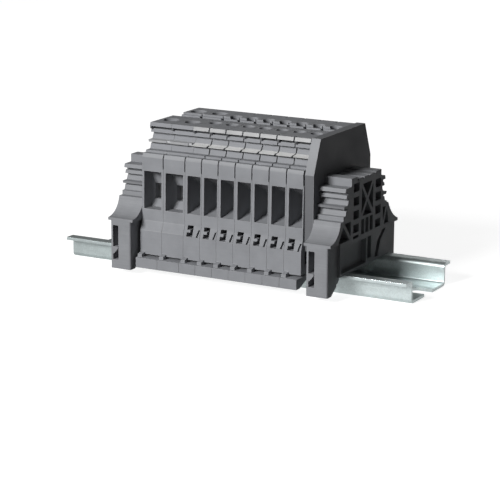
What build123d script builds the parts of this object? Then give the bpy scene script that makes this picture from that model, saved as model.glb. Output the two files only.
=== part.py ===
"""Junction block: feed-through screw terminals, an end cover and two end clamps on a top-hat rail.

X runs along the rail, Y across it (the wire side at -Y faces the viewer) and Z up.
The origin is on the rail's centre line, midway along it, on its underside. Sizes are in mm.
"""
from build123d import *
from collections import namedtuple
import os

# Rail: bent from one slotted sheet, with a flat floor, two walls and two outward flanges.
RAIL_WIDTH = 35.0
RAIL_HEIGHT = 7.5
RAIL_SHEET = 1.0
RAIL_FLOOR_WIDTH = 27.0
RAIL_BEND = 0.5
RAIL_LENGTH = 126.9
RAIL_SLOT_LENGTH = 15.0
RAIL_SLOT_WIDTH = 6.2
RAIL_SLOT_PITCH = 25.0
RAIL_SLOT_PAST_END = 0.45

# Row of terminals: two wide ones first, then the narrow ones, then the cover.
WIDE_COUNT = 2
NARROW_COUNT = 7
WIDE_PITCH = 8.2
NARROW_PITCH = 6.2
COVER_WIDTH = 3.2
CLAMP_WIDTH = 9.5
ROW_SHIFT = 0.9
SIDE_GAP = 0.06

# Fits shared by the pieces.
RAIL_FIT = 0.1
BAR_FIT = 0.05
MOVING_GAP = 0.3
THREAD_FIT = 0.08

# Rail grip, the same on terminals and clamps.
HOOK_REACH = 1.1
HOOK_TIP = 0.7
HOOK_DEPTH = 1.8
NECK_WIDTH = 1.8

# Terminal housing outline, heights above the rail's flanges.
HOUSING_HEIGHT = 42.6
DECK_HALF = 16.0
WALL_TOP_HALF = 21.3
WALL_MID_HALF = 21.7
WALL_LOW_HALF = 22.85
WALL_BEND_TOP = 10.7
WALL_BEND_LOW = 7.6
WALL_FOOT_GAP = 0.5
WALL_TOP_CHAMFER = 0.5
WALL_TOP_SLOPE = 1.2
FOOT_HALF = 25.86
FOOT_HEIGHT = 3.4
FOOT_SLOT = 0.7
FOOT_SOLE = 2.5
CHANNEL_RELIEF = 1.0
FIXED_HOOK_WIDTH = 2.8

# Top of the housing: two decks, with a sloping trough and a small rib between them.
TROUGH_FRONT = -1.6
TROUGH_BACK = 4.2
TROUGH_DEPTH = 1.5
TROUGH_RIB_DROP = 0.6
TROUGH_RIB_WIDTH = 0.7
TROUGH_GROOVE = 0.5
TROUGH_GROOVE_DEPTH = 1.2
DECK_NOTCH_WIDTH = 1.0

# Marker steps below a deck: a lip, two grooves, a rib and a ledge, measured from the lip.
LIP_HEIGHT = 1.25
LIP_LEAN = 0.4
LIP_GROOVE_HEIGHT = 0.9
LIP_POST_WIDTH = 0.55
GROOVE_HEIGHT = 0.55
GROOVE_DEPTH = 1.9
BAND_HEIGHT = 1.15
BAND_SET_BACK = 0.7
BAND_LEAN = 0.4
PANEL_SET_BACK = 2.0
PANEL_HEIGHT = 1.7
PANEL_LEAN = 0.85
RIB_STAND = 1.45
RIB_HEIGHT = 0.85
RIB_LEAN = 0.35
RIB_UNDERCUT = 0.8
NARROW_RIB_SLOPE = 0.6
LOW_PANEL_SET_BACK = 0.3
LOW_PANEL_HEIGHT = 1.8
LOW_PANEL_LEAN = 0.6
LEDGE_STEP = 2.7
LEDGE_DROP = 0.7
RIB_SIDE_GAP = 0.5
SEAM_RELIEF = 0.3
SEAM_ABOVE_MOUTH = 1.0
WIDE_RIB_NOTCH = 1.2
WIDE_RIB_NOTCH_DEPTH = 0.5

# Wire funnels in the front and rear walls.
MOUTH_FLOOR = 14.65
MOUTH_HEIGHT = 12.6
FUNNEL_WINDOW_RISE = 2.35
WINDOW_HEIGHT = 5.3
NARROW_MOUTH_LEFT = 0.9
NARROW_MOUTH_RIGHT = 0.4
NARROW_MOUTH_DEPTH = 0.8
NARROW_TAPER = 8.7
WIDE_MOUTH_LEFT = 0.8
WIDE_MOUTH_RIGHT = 0.75
WIDE_MOUTH_DEPTH = 3.9
WIDE_TAPER = 1.8

# Contacts: a flat bar through two sleeves, each drawn up by its own screw.
BAR_UNDERSIDE = 22.5
BAR_THICKNESS = 1.6
BAR_PAST_SLEEVE = 1.9
SLEEVE_TRAVEL = 5.0
SLEEVE_SHUT_GAP = 0.4
SCREW_SLOT_WIDTH = 0.8
SCREW_SLOT_DEPTH = 1.0
SHANK_SIDES = 16
SIDE_PLATE = 0.5
NARROW_SCREW_Y = 7.0
NARROW_SCREW_D = 3.0
NARROW_HEAD_D = 3.8
NARROW_HEAD_HEIGHT = 1.9
NARROW_SLEEVE_WALL = 0.6
NARROW_SLEEVE_TOP = 2.6
NARROW_SLEEVE_FLOOR = 0.9
NARROW_SLEEVE_LENGTH = 5.6
WIDE_SCREW_Y = 9.2
WIDE_SCREW_D = 4.0
WIDE_HEAD_D = 5.0
WIDE_HEAD_HEIGHT = 2.3
WIDE_SLEEVE_WALL = 0.8
WIDE_SLEEVE_TOP = 3.0
WIDE_SLEEVE_FLOOR = 1.0
WIDE_SLEEVE_LENGTH = 6.6
DRIVER_HOLE_GAP = 0.15

# Marker foot windows of the narrow terminals, at the bend of the front wall.
WINDOW_LEFT = 1.2
WINDOW_WIDTH = 2.2
WINDOW_FLOOR = 7.2
WINDOW_STEP = 1.4
WINDOW_HOOK_HEIGHT = 0.85
WINDOW_HOOK_REACH = 1.25
SLIT_WIDTH = 0.6
SLIT_HEIGHT = 2.5
SLIT_LEAN = 0.6
SLIT_MARGIN = 0.2
TAB_WIDTH = 1.65
TAB_INSET = 0.1
TAB_HEIGHT = 1.5
TAB_SET_BACK = 1.0
TAB_CROWN = 0.9

# Coring of the open side of each housing.
CORE_PLATE = 1.3
CORE_WALL = 1.6
CORE_FLOOR = 2.6
CORE_TOP_GAP = 2.2
CORE_WEB = 1.2

# End cover.
COVER_HEIGHT = 35.7
COVER_TOP_STAND = 0.3
COVER_TOP_HALF = 16.3
COVER_HALF = 20.9
COVER_SHOULDER = 11.1
COVER_RIM = 0.8
COVER_RECESS = 0.5

# End clamp.
CLAMP_HEIGHT = 30.5
CLAMP_TOP_FRONT = -13.0
CLAMP_TOP_BACK = 9.2
CLAMP_BLOCK_HEIGHT = 2.6
CLAMP_LIP_FRONT = -17.0
CLAMP_LIP_BACK = 12.2
CLAMP_BLOCK_WIDTH = 4.2
CLAMP_BACK_DROP = 0.7
CLAMP_STEP = 1.3
CLAMP_TOP_GROOVE = 0.9
CLAMP_TOP_GROOVE_DEPTH = 0.6
CLAMP_FOOT_FRONT = -27.6
CLAMP_FOOT_BOTTOM = 2.1
CLAMP_FOOT_TOP = 18.3
CLAMP_FOOT_SOLE = 2.8
CLAMP_FOOT_INSET = 0.9
CLAMP_FOOT_EDGE = 0.6
CLAMP_NECK_FRONT = -20.6
CLAMP_SHOULDER_HEIGHT = 17.7
CLAMP_SHOULDER_DIP = 3.6
CLAMP_LEG_BACK = 21.2
CLAMP_LEG_TOP = 10.0
CLAMP_LEG_INSET = 0.4
CLAMP_LEG_NUB = 1.7
CLAMP_LEG_GAP = 3.4
CLAMP_PLATE = 2.2
CLAMP_CELL = 4.1
CLAMP_CELL_HEIGHT = 2.8
CLAMP_CELL_PITCH = 4.45
CLAMP_CELL_COUNT = 4
CLAMP_WEB = 0.9
CLAMP_FRONT_CELL = -11.4
CLAMP_FRONT_RISE = 1.4
CLAMP_CROSS_LOW = 16.7
CLAMP_CROSS_HIGH = 27.3
CLAMP_BACK_CELL = 5.0
CLAMP_RECESS = 1.8
LATCH_SLOT_LEFT = 1.8
LATCH_SLOT_WIDTH = 2.1
LATCH_SLOT_BOTTOM = 5.1
LATCH_SLOT_TOP = 16.7
LATCH_SLOT_DEPTH = 4.5
LATCH_TONGUE_TOP = 9.5
LATCH_TONGUE_TIP = 0.7
LATCH_TONGUE_DROP = 2.5
LATCH_TONGUE_GAP = 0.25
LATCH_TONGUE_ROOT = 0.3

SEAT = RAIL_HEIGHT
FLANGE_HALF = RAIL_WIDTH / 2 + RAIL_FIT
FLANGE_UNDER = RAIL_HEIGHT - RAIL_SHEET - RAIL_FIT

Kind = namedtuple("Kind", "pitch screw_y screw_d head_d head_h sleeve_wall sleeve_top sleeve_floor "
                          "sleeve_length mouth_left mouth_right mouth_depth taper narrow")
WIDE = Kind(WIDE_PITCH, WIDE_SCREW_Y, WIDE_SCREW_D, WIDE_HEAD_D, WIDE_HEAD_HEIGHT, WIDE_SLEEVE_WALL,
            WIDE_SLEEVE_TOP, WIDE_SLEEVE_FLOOR, WIDE_SLEEVE_LENGTH, WIDE_MOUTH_LEFT, WIDE_MOUTH_RIGHT,
            WIDE_MOUTH_DEPTH, WIDE_TAPER, False)
NARROW = Kind(NARROW_PITCH, NARROW_SCREW_Y, NARROW_SCREW_D, NARROW_HEAD_D, NARROW_HEAD_HEIGHT,
              NARROW_SLEEVE_WALL, NARROW_SLEEVE_TOP, NARROW_SLEEVE_FLOOR, NARROW_SLEEVE_LENGTH,
              NARROW_MOUTH_LEFT, NARROW_MOUTH_RIGHT, NARROW_MOUTH_DEPTH, NARROW_TAPER, True)


def block(x0, x1, y0, y1, z0, z1):
    """A box between two corners."""
    centre = Pos((x0 + x1) / 2, (y0 + y1) / 2, (z0 + z1) / 2)
    return centre * Box(abs(x1 - x0), abs(y1 - y0), abs(z1 - z0))


def side_prism(outline, x0, x1):
    """A side outline of (y, z) points, run along the rail from x0 to x1."""
    face = make_face(Polyline(*[(x0, y, z) for y, z in outline], close=True))
    return extrude(face, amount=x1 - x0, dir=(1, 0, 0))


def plan_prism(outline, z0, z1):
    """A plan outline of (x, y) points, run up from z0 to z1."""
    face = make_face(Polyline(*[(x, y, z0) for x, y in outline], close=True))
    return extrude(face, amount=z1 - z0, dir=(0, 0, 1))


def rail():
    """The slotted top-hat rail, bent from one sheet."""
    half = RAIL_LENGTH / 2
    edge = RAIL_WIDTH / 2
    wall = RAIL_FLOOR_WIDTH / 2
    t = RAIL_SHEET
    top = RAIL_HEIGHT
    outline = [(-edge, top - t), (-wall, top - t), (-wall, 0), (wall, 0), (wall, top - t), (edge, top - t),
               (edge, top), (wall - t, top), (wall - t, t), (t - wall, t), (t - wall, top), (-edge, top)]
    sheet = side_prism(outline, -half, half)
    outer = [e for e in sheet.edges().filter_by(Axis.X) if outer_bend(e.center(), wall, t, top)]
    inner = [e for e in sheet.edges().filter_by(Axis.X) if inner_bend(e.center(), wall, t, top)]
    sheet = fillet(outer, RAIL_BEND + t)
    inner = [e for e in sheet.edges().filter_by(Axis.X) if inner_bend(e.center(), wall, t, top)]
    sheet = fillet(inner, RAIL_BEND)
    centre = half + RAIL_SLOT_PAST_END
    slot = extrude(SlotOverall(RAIL_SLOT_LENGTH, RAIL_SLOT_WIDTH), amount=2 * t, both=True)
    while centre > -half - RAIL_SLOT_LENGTH / 2:
        sheet -= Pos(centre, 0, 0) * slot
        centre -= RAIL_SLOT_PITCH
    return sheet


def outer_bend(c, wall, t, top):
    """True for the convex bends: below the floor's corners and on top of the walls."""
    low = abs(c.Z) < t / 4 and abs(abs(c.Y) - wall) < t / 4
    high = abs(c.Z - top) < t / 4 and abs(abs(c.Y) - (wall - t)) < t / 4
    return low or high


def inner_bend(c, wall, t, top):
    """True for the concave bends: inside the channel and under the flanges."""
    low = abs(c.Z - t) < t / 4 and abs(abs(c.Y) - (wall - t)) < t / 4
    high = abs(c.Z - (top - t)) < t / 4 and abs(abs(c.Y) - wall) < t / 4
    return low or high


def marker_steps(y, z, slope=0.0):
    """Points down the front from a lip's top corner at (y, z) to its lower ledge, the rib's top sloped."""
    z_lip = z - LIP_HEIGHT
    z_band = z_lip - LIP_GROOVE_HEIGHT
    z_groove = z_band - BAND_HEIGHT
    z_panel = z_groove - GROOVE_HEIGHT
    z_rib = z_panel - PANEL_HEIGHT
    z_under = z_rib - RIB_HEIGHT
    z_low = z_under - GROOVE_HEIGHT
    z_ledge = z_low - LOW_PANEL_HEIGHT
    y_panel = y + PANEL_SET_BACK
    y_low = y + LOW_PANEL_SET_BACK
    return [(y, z), (y - LIP_LEAN, z_lip),
            (y - LIP_LEAN + GROOVE_DEPTH, z_lip), (y - LIP_LEAN + GROOVE_DEPTH, z_band),
            (y + BAND_SET_BACK, z_band), (y + BAND_SET_BACK - BAND_LEAN, z_groove),
            (y_panel, z_groove), (y_panel, z_panel), (y_panel - PANEL_LEAN, z_rib),
            (y - RIB_STAND, z_rib - slope), (y - RIB_STAND + RIB_LEAN, z_under),
            (y_low + RIB_UNDERCUT, z_under), (y_low + RIB_UNDERCUT, z_low), (y_low, z_low),
            (y_low - LOW_PANEL_LEAN, z_ledge)]


RIB_BELOW_LIP = LIP_HEIGHT + LIP_GROOVE_HEIGHT + BAND_HEIGHT + GROOVE_HEIGHT + PANEL_HEIGHT
LEDGE_BELOW_LIP = RIB_BELOW_LIP + RIB_HEIGHT + GROOVE_HEIGHT + LOW_PANEL_HEIGHT
LEDGE_BEHIND_LIP = LOW_PANEL_SET_BACK - LOW_PANEL_LEAN


def ledge_step(y, z):
    """The shelf and the riser outwards from the foot of the marker steps."""
    return [(y - LEDGE_STEP, z), (y - LEDGE_STEP, z - LEDGE_DROP)]


def hook_outline(side):
    """Rail hook on one side (-1 front, 1 back): from the seat round under the flange."""
    inner = FLANGE_HALF - HOOK_REACH
    return [(side * FLANGE_HALF, SEAT), (side * FLANGE_HALF, FLANGE_UNDER), (side * inner, FLANGE_UNDER),
            (side * inner, FLANGE_UNDER - HOOK_TIP), (side * FLANGE_HALF, FLANGE_UNDER - HOOK_DEPTH)]


def upper_side(slope):
    """Front side of a housing from the bottom of its wall up to its deck."""
    top = SEAT + HOUSING_HEIGHT
    steps = marker_steps(-DECK_HALF, top, slope)
    z_ledge = top - LEDGE_BELOW_LIP
    y_ledge = -DECK_HALF + LEDGE_BEHIND_LIP
    ledge = ledge_step(y_ledge, z_ledge)
    z_wall = z_ledge - LEDGE_DROP
    wall = [(-WALL_TOP_HALF + WALL_TOP_CHAMFER, z_wall), (-WALL_TOP_HALF, z_wall - WALL_TOP_SLOPE),
            (-WALL_MID_HALF, SEAT + WALL_BEND_TOP), (-WALL_LOW_HALF, SEAT + WALL_BEND_LOW),
            (-WALL_LOW_HALF, SEAT - WALL_FOOT_GAP)]
    return list(reversed(steps + ledge + wall))


def housing_outline(kind):
    """Whole side outline of a housing, its sprung foot at the front and its fixed hook behind."""
    top = SEAT + HOUSING_HEIGHT
    neck = FLANGE_HALF + NECK_WIDTH
    foot_top = SEAT - WALL_FOOT_GAP - FOOT_SLOT
    sole = foot_top - FOOT_HEIGHT
    hook_low = FLANGE_UNDER - HOOK_DEPTH
    foot = hook_outline(-1) + [(-FLANGE_HALF - NECK_WIDTH, hook_low), (-FOOT_HALF + FOOT_SOLE, sole),
                               (-FOOT_HALF, sole), (-FOOT_HALF, foot_top), (-neck, foot_top),
                               (-neck, SEAT - WALL_FOOT_GAP)]
    front = upper_side(NARROW_RIB_SLOPE if kind.narrow else 0)
    deck = [(TROUGH_FRONT, top), (TROUGH_BACK, top - TROUGH_DEPTH),
            (TROUGH_BACK, top - TROUGH_RIB_DROP), (TROUGH_BACK + TROUGH_RIB_WIDTH, top - TROUGH_RIB_DROP),
            (TROUGH_BACK + TROUGH_RIB_WIDTH, top - TROUGH_GROOVE_DEPTH),
            (TROUGH_BACK + TROUGH_RIB_WIDTH + TROUGH_GROOVE, top - TROUGH_GROOVE_DEPTH),
            (TROUGH_BACK + TROUGH_RIB_WIDTH + TROUGH_GROOVE, top)]
    back = [(-y, z) for y, z in reversed(front)]
    hook = [(FLANGE_HALF + FIXED_HOOK_WIDTH, SEAT - WALL_FOOT_GAP), (FLANGE_HALF + FIXED_HOOK_WIDTH, hook_low)]
    seat = RAIL_FLOOR_WIDTH / 2 - RAIL_SHEET
    relief = seat - CHANNEL_RELIEF
    under = [(seat, SEAT), (relief, SEAT + CHANNEL_RELIEF), (-relief, SEAT + CHANNEL_RELIEF), (-seat, SEAT)]
    return foot + front + deck + back + hook + list(reversed(hook_outline(1))) + under


def contact_levels(kind):
    """Heights of the sleeve, the screw and the chamber that holds them."""
    bar_low = SEAT + BAR_UNDERSIDE
    bar_top = bar_low + BAR_THICKNESS
    sleeve_inside = bar_low - SLEEVE_SHUT_GAP - SLEEVE_TRAVEL
    sleeve_low = sleeve_inside - kind.sleeve_floor
    ceiling = bar_top + MOVING_GAP
    sleeve_top = ceiling + kind.sleeve_top
    head_low = sleeve_top + SLEEVE_TRAVEL + MOVING_GAP
    head_top = head_low + kind.head_h
    return bar_low, bar_top, sleeve_low, sleeve_inside, ceiling, sleeve_top, head_low, head_top


def wire_width(kind):
    """Width inside a clamping sleeve, clear of the screw that dips into it."""
    return kind.screw_d + 2 * MOVING_GAP


def sleeve_width(kind):
    """Outer width of a clamping sleeve."""
    return wire_width(kind) + 2 * kind.sleeve_wall


def screw_x(kind):
    """Place of the screws across a housing, from its left face."""
    return SIDE_PLATE + MOVING_GAP + sleeve_width(kind) / 2


def bar_half(kind):
    """Half the length of a contact bar."""
    return kind.screw_y + kind.sleeve_length / 2 + BAR_PAST_SLEEVE


def bar_width(kind):
    """Width of a contact bar, clear of the sleeves' walls."""
    return wire_width(kind) - 2 * MOVING_GAP


def funnel(kind, width):
    """Front wire funnel as a solid to cut: a straight mouth, a taper and a short throat."""
    x0 = kind.mouth_left
    x1 = width - kind.mouth_right
    z0 = SEAT + MOUTH_FLOOR
    z1 = z0 + MOUTH_HEIGHT
    y_taper = -WALL_TOP_HALF + kind.mouth_depth
    y_throat = y_taper + kind.taper
    xc = screw_x(kind)
    w0 = xc - wire_width(kind) / 2
    w1 = xc + wire_width(kind) / 2
    t0 = z0 + FUNNEL_WINDOW_RISE
    t1 = t0 + WINDOW_HEIGHT
    mouth = block(x0, x1, -WALL_LOW_HALF - 1, y_taper, z0, z1)
    cone = side_prism([(y_taper, z0), (y_taper, z1), (y_throat, t1), (y_throat, t0)], x0, x1)
    cone &= plan_prism([(x0, y_taper), (x1, y_taper), (w1, y_throat), (w0, y_throat)], z0, z1)
    throat = block(w0, w1, y_throat, -kind.screw_y, t0, t1)
    return mouth + cone + throat


def contact_chamber(kind, width):
    """Front screw chamber as a solid to cut, open at the housing's right side."""
    levels = contact_levels(kind)
    reach = kind.sleeve_length / 2 + MOVING_GAP
    bottom = levels[2] - MOVING_GAP
    top = levels[7] + MOVING_GAP
    y = -kind.screw_y
    chamber = block(SIDE_PLATE, width + 1, y - reach, y + reach, bottom, top)
    deck = SEAT + HOUSING_HEIGHT
    hole = Pos(screw_x(kind), y, (top + deck) / 2) * Cylinder(kind.head_d / 2 + DRIVER_HOLE_GAP, deck - top + 2)
    return chamber + hole


def lower_cores(kind, width):
    """Pockets cored from the open side under the contacts."""
    low = SEAT + CORE_FLOOR
    top = contact_levels(kind)[2] - CORE_TOP_GAP
    outer = WALL_MID_HALF - CORE_WALL
    span = (2 * outer - 2 * CORE_WEB) / 3
    y = -outer
    cores = []
    for _ in range(3):
        cores.append(block(CORE_PLATE, width + 1, y, y + span, low, top))
        y += span + CORE_WEB
    return cores


def marker_windows(width):
    """Cuts for the hooked window and the leaning slit at the front bend of a narrow housing."""
    y0 = -WALL_LOW_HALF - 1
    y1 = -WALL_MID_HALF + CORE_WALL + 1
    low = SEAT + WINDOW_FLOOR
    hook = low + WINDOW_STEP
    high = hook + WINDOW_HOOK_HEIGHT
    right = WINDOW_LEFT + WINDOW_WIDTH
    window = block(WINDOW_LEFT, right, y0, y1, low, hook)
    window += block(WINDOW_LEFT + WINDOW_HOOK_REACH, right, y0, y1, hook, high)
    window += block(WINDOW_LEFT, right, y0, y1, high, high + WINDOW_STEP)
    x = width - SLIT_MARGIN - SLIT_WIDTH
    outline = [(x - SLIT_LEAN, low), (x - SLIT_LEAN + SLIT_WIDTH, low),
               (x + SLIT_WIDTH, low + SLIT_HEIGHT), (x, low + SLIT_HEIGHT)]
    face = make_face(Polyline(*[(px, y0, pz) for px, pz in outline], close=True))
    return window, extrude(face, amount=y1 - y0, dir=(0, 1, 0))


def foot_tab():
    """Gusset that joins the sprung foot to the front wall at one seam."""
    foot_top = SEAT - WALL_FOOT_GAP - FOOT_SLOT
    front = -FOOT_HALF + TAB_SET_BACK
    back = -WALL_LOW_HALF + FOOT_SLOT
    outline = [(front, foot_top - FOOT_SLOT), (front, foot_top + TAB_CROWN),
               (-WALL_LOW_HALF, foot_top + TAB_HEIGHT), (back, foot_top + TAB_HEIGHT), (back, foot_top - FOOT_SLOT)]
    return side_prism(outline, TAB_INSET, TAB_INSET + TAB_WIDTH)


def rib_gap(kind, width):
    """Cut that sets the marker rib back at the right side of a housing."""
    rib_top = SEAT + HOUSING_HEIGHT - RIB_BELOW_LIP
    front = -DECK_HALF - RIB_STAND - 1
    if kind.narrow:
        back = -DECK_HALF + LOW_PANEL_SET_BACK
        return block(width - RIB_SIDE_GAP, width + 1, front, back, rib_top - RIB_HEIGHT, rib_top)
    back = -DECK_HALF - RIB_STAND + WIDE_RIB_NOTCH_DEPTH
    return block(width - WIDE_RIB_NOTCH, width + 1, front, back, rib_top - RIB_HEIGHT, rib_top)


def lip_post():
    """Small post that props the front lip at the left side of a housing."""
    z = SEAT + HOUSING_HEIGHT - LIP_HEIGHT
    front = -DECK_HALF - LIP_LEAN / 2
    return block(0, LIP_POST_WIDTH, front, front + GROOVE_DEPTH, z - LIP_GROOVE_HEIGHT, z)


def seam_relief(kind, width):
    """Cut that sets the right side back at the front, so a fine dark line parts two housings."""
    low = SEAT + MOUTH_FLOOR + MOUTH_HEIGHT + SEAM_ABOVE_MOUTH
    high = SEAT + HOUSING_HEIGHT + 1
    if not kind.narrow:
        high -= LEDGE_BELOW_LIP + LEDGE_DROP + 1
    back = -DECK_HALF + PANEL_SET_BACK + SEAM_RELIEF
    return block(width - SEAM_RELIEF, width + 1, -WALL_LOW_HALF - 1, back, low, high)


def housing(kind):
    """One moulded terminal housing, its left face at X = 0 and its right side open."""
    width = kind.pitch - SIDE_GAP
    body = side_prism(housing_outline(kind), 0, width)
    body += foot_tab() + lip_post()
    levels = contact_levels(kind)
    cuts = [funnel(kind, width), contact_chamber(kind, width), seam_relief(kind, width)]
    cuts += [mirror(cut, Plane.XZ) for cut in cuts]
    half = bar_half(kind) + BAR_FIT
    left = screw_x(kind) - bar_width(kind) / 2 - BAR_FIT
    cuts.append(block(left, width + 1, -half, half, levels[0], levels[1] + BAR_FIT))
    cuts += lower_cores(kind, width)
    cuts.append(rib_gap(kind, width))
    groove = TROUGH_BACK + TROUGH_RIB_WIDTH + TROUGH_GROOVE
    top = SEAT + HOUSING_HEIGHT
    cuts.append(block(width - DECK_NOTCH_WIDTH, width + 1, TROUGH_BACK - DECK_NOTCH_WIDTH / 2,
                      groove + DECK_NOTCH_WIDTH / 2, top - TROUGH_DEPTH, top + 1))
    if kind.narrow:
        cuts += list(marker_windows(width))
    for cut in cuts:
        body -= cut
    return body


def contact_bar(kind):
    """Flat bar that joins the front and rear sleeves."""
    levels = contact_levels(kind)
    half = bar_half(kind)
    x = screw_x(kind)
    reach = bar_width(kind) / 2
    return block(x - reach, x + reach, -half, half, levels[0], levels[1])


def sleeve(kind):
    """Front clamping sleeve, lowered, with a thick tapped top."""
    levels = contact_levels(kind)
    x = screw_x(kind)
    y = -kind.screw_y
    outer = sleeve_width(kind) / 2
    inner = wire_width(kind) / 2
    reach = kind.sleeve_length / 2
    shell = block(x - outer, x + outer, y - reach, y + reach, levels[2], levels[5])
    shell -= block(x - inner, x + inner, y - reach - 1, y + reach + 1, levels[3], levels[4])
    tapped = RegularPolygon(kind.screw_d / 2 + THREAD_FIT, SHANK_SIDES, major_radius=False)
    return shell - Pos(x, y, levels[4] - 1) * extrude(tapped, amount=kind.sleeve_top + 2)


def screw(kind):
    """Front clamping screw, its tip just above the bar and its slotted head under the deck."""
    levels = contact_levels(kind)
    x = screw_x(kind)
    y = -kind.screw_y
    tip = levels[1] + MOVING_GAP
    shank = Pos(x, y, tip) * extrude(RegularPolygon(kind.screw_d / 2, SHANK_SIDES), amount=levels[6] - tip)
    head = Pos(x, y, (levels[6] + levels[7]) / 2) * Cylinder(kind.head_d / 2, kind.head_h)
    head_reach = kind.head_d / 2 + 1
    slot = block(x - head_reach, x + head_reach, y - SCREW_SLOT_WIDTH / 2, y + SCREW_SLOT_WIDTH / 2,
                 levels[7] - SCREW_SLOT_DEPTH, levels[7] + 1)
    return shank + (head - slot)


def end_cover():
    """Flat cover over the open side of the last terminal, with a shallow recess inside."""
    top = SEAT + HOUSING_HEIGHT + COVER_TOP_STAND
    outline = [(-COVER_HALF, top - COVER_HEIGHT), (COVER_HALF, top - COVER_HEIGHT),
               (COVER_HALF, top - COVER_SHOULDER), (COVER_TOP_HALF, top),
               (-COVER_TOP_HALF, top), (-COVER_HALF, top - COVER_SHOULDER)]
    width = COVER_WIDTH - SIDE_GAP
    plate = side_prism(outline, 0, width)
    low = top - COVER_HEIGHT + COVER_RIM
    inner = COVER_HALF - COVER_RIM
    recess = block(-1, COVER_RECESS, -inner, inner, low, top - COVER_SHOULDER - COVER_RIM)
    return plate - recess


def clamp_top(top):
    """Points along the top of a clamp, from front to back."""
    front = CLAMP_TOP_FRONT + CLAMP_BLOCK_WIDTH
    back = CLAMP_TOP_BACK - CLAMP_BLOCK_WIDTH
    low = top - CLAMP_TOP_GROOVE
    floor = top - CLAMP_TOP_GROOVE - CLAMP_TOP_GROOVE_DEPTH
    points = [(CLAMP_TOP_FRONT, top), (front, top)]
    span = (back - front - CLAMP_TOP_GROOVE) / 3
    y = front
    for _ in range(3):
        points += [(y, floor), (y + CLAMP_TOP_GROOVE, floor), (y + CLAMP_TOP_GROOVE, low), (y + span, low)]
        y += span
    back_top = top - CLAMP_BACK_DROP
    points += [(y, floor), (back, floor), (back, back_top), (CLAMP_TOP_BACK, back_top)]
    return points


def clamp_body():
    """Upper body of a clamp: grooved top, marker steps on both sides and curved shoulders."""
    top = SEAT + CLAMP_HEIGHT
    z_lip = top - CLAMP_BLOCK_HEIGHT
    front = list(reversed([(CLAMP_TOP_FRONT, z_lip)] + marker_steps(CLAMP_LIP_FRONT, z_lip)))
    z_back = z_lip - CLAMP_BACK_DROP
    back = [(CLAMP_TOP_BACK, z_back)] + [(CLAMP_LIP_FRONT + CLAMP_LIP_BACK - y, z)
                                         for y, z in marker_steps(CLAMP_LIP_FRONT, z_back)]
    z_ledge = z_lip - LEDGE_BELOW_LIP
    y_front = CLAMP_LIP_FRONT + LEDGE_BEHIND_LIP
    y_back = CLAMP_LIP_BACK - LEDGE_BEHIND_LIP
    shoulder_z = SEAT + CLAMP_SHOULDER_HEIGHT
    front_step = [(y_front - CLAMP_STEP, z_ledge), (y_front - CLAMP_STEP, shoulder_z)]
    back_step = [(y_back + CLAMP_STEP, z_ledge - CLAMP_BACK_DROP), (y_back + CLAMP_STEP, shoulder_z)]
    nub_back = CLAMP_LEG_BACK + CLAMP_LEG_NUB
    nub_z = SEAT + CLAMP_LEG_TOP
    start = (CLAMP_NECK_FRONT, shoulder_z)
    end = (CLAMP_FOOT_FRONT, CLAMP_FOOT_TOP + CLAMP_WEB)
    middle = (CLAMP_NECK_FRONT - (CLAMP_NECK_FRONT - CLAMP_FOOT_FRONT) / 4, shoulder_z - CLAMP_SHOULDER_DIP)
    back_start = (y_back + 2 * CLAMP_STEP, shoulder_z)
    back_end = (nub_back, nub_z + CLAMP_WEB)
    back_middle = ((3 * back_start[0] + back_end[0]) / 4 + CLAMP_STEP / 2, shoulder_z - CLAMP_SHOULDER_DIP)
    crown = front_step[::-1] + front + clamp_top(top) + back + back_step
    lines = Polyline(*[(0, y, z) for y, z in [start] + crown + [back_start]])
    rear = ThreePointArc((0, *back_start), (0, *back_middle), (0, *back_end))
    base = Polyline(*[(0, y, z) for y, z in [back_end, (nub_back, nub_z), (CLAMP_NECK_FRONT, nub_z),
                                             (CLAMP_NECK_FRONT, CLAMP_FOOT_TOP),
                                             (CLAMP_FOOT_FRONT, CLAMP_FOOT_TOP), end]])
    sweep_in = ThreePointArc((0, *end), (0, *middle), (0, *start))
    return extrude(make_face([lines, rear, base, sweep_in]), amount=CLAMP_WIDTH - SIDE_GAP, dir=(1, 0, 0))


def clamp_cells():
    """Cells moulded into the open side of a clamp, as solids to cut."""
    width = CLAMP_WIDTH
    base = SEAT + CLAMP_LEG_TOP + CLAMP_WEB
    cells = []
    for start, rise in ((CLAMP_FRONT_CELL, CLAMP_FRONT_RISE), (CLAMP_BACK_CELL, 0)):
        for row in range(CLAMP_CELL_COUNT):
            z = base + rise + row * CLAMP_CELL_PITCH
            cells.append(block(CLAMP_PLATE, width, start, start + CLAMP_CELL, z, z + CLAMP_CELL_HEIGHT))
    cells.append(block(CLAMP_PLATE, width, CLAMP_FRONT_CELL, CLAMP_FRONT_CELL + CLAMP_CELL,
                       base - CLAMP_WEB / 2, base + CLAMP_FRONT_RISE - CLAMP_WEB))
    left = CLAMP_FRONT_CELL + CLAMP_CELL + 2 * CLAMP_WEB
    right = CLAMP_BACK_CELL - 2 * CLAMP_WEB
    low = SEAT + CLAMP_CROSS_LOW
    high = SEAT + CLAMP_CROSS_HIGH
    yc = (left + right) / 2
    zc = (low + high) / 2
    w = CLAMP_WEB
    for tri in ([(left + w, high), (right - w, high), (yc, zc + w)], [(left + w, low), (right - w, low), (yc, zc - w)],
                [(left, low + w), (left, high - w), (yc - w, zc)], [(right, low + w), (right, high - w), (yc + w, zc)]):
        cells.append(side_prism(tri, CLAMP_PLATE, width))
    ribs = 3
    span = (right - left - (ribs - 1) * w) / ribs
    for i in range(ribs):
        y = left + i * (span + w)
        cells.append(block(CLAMP_PLATE, width, y, y + span, base, low - w))
    return cells


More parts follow.
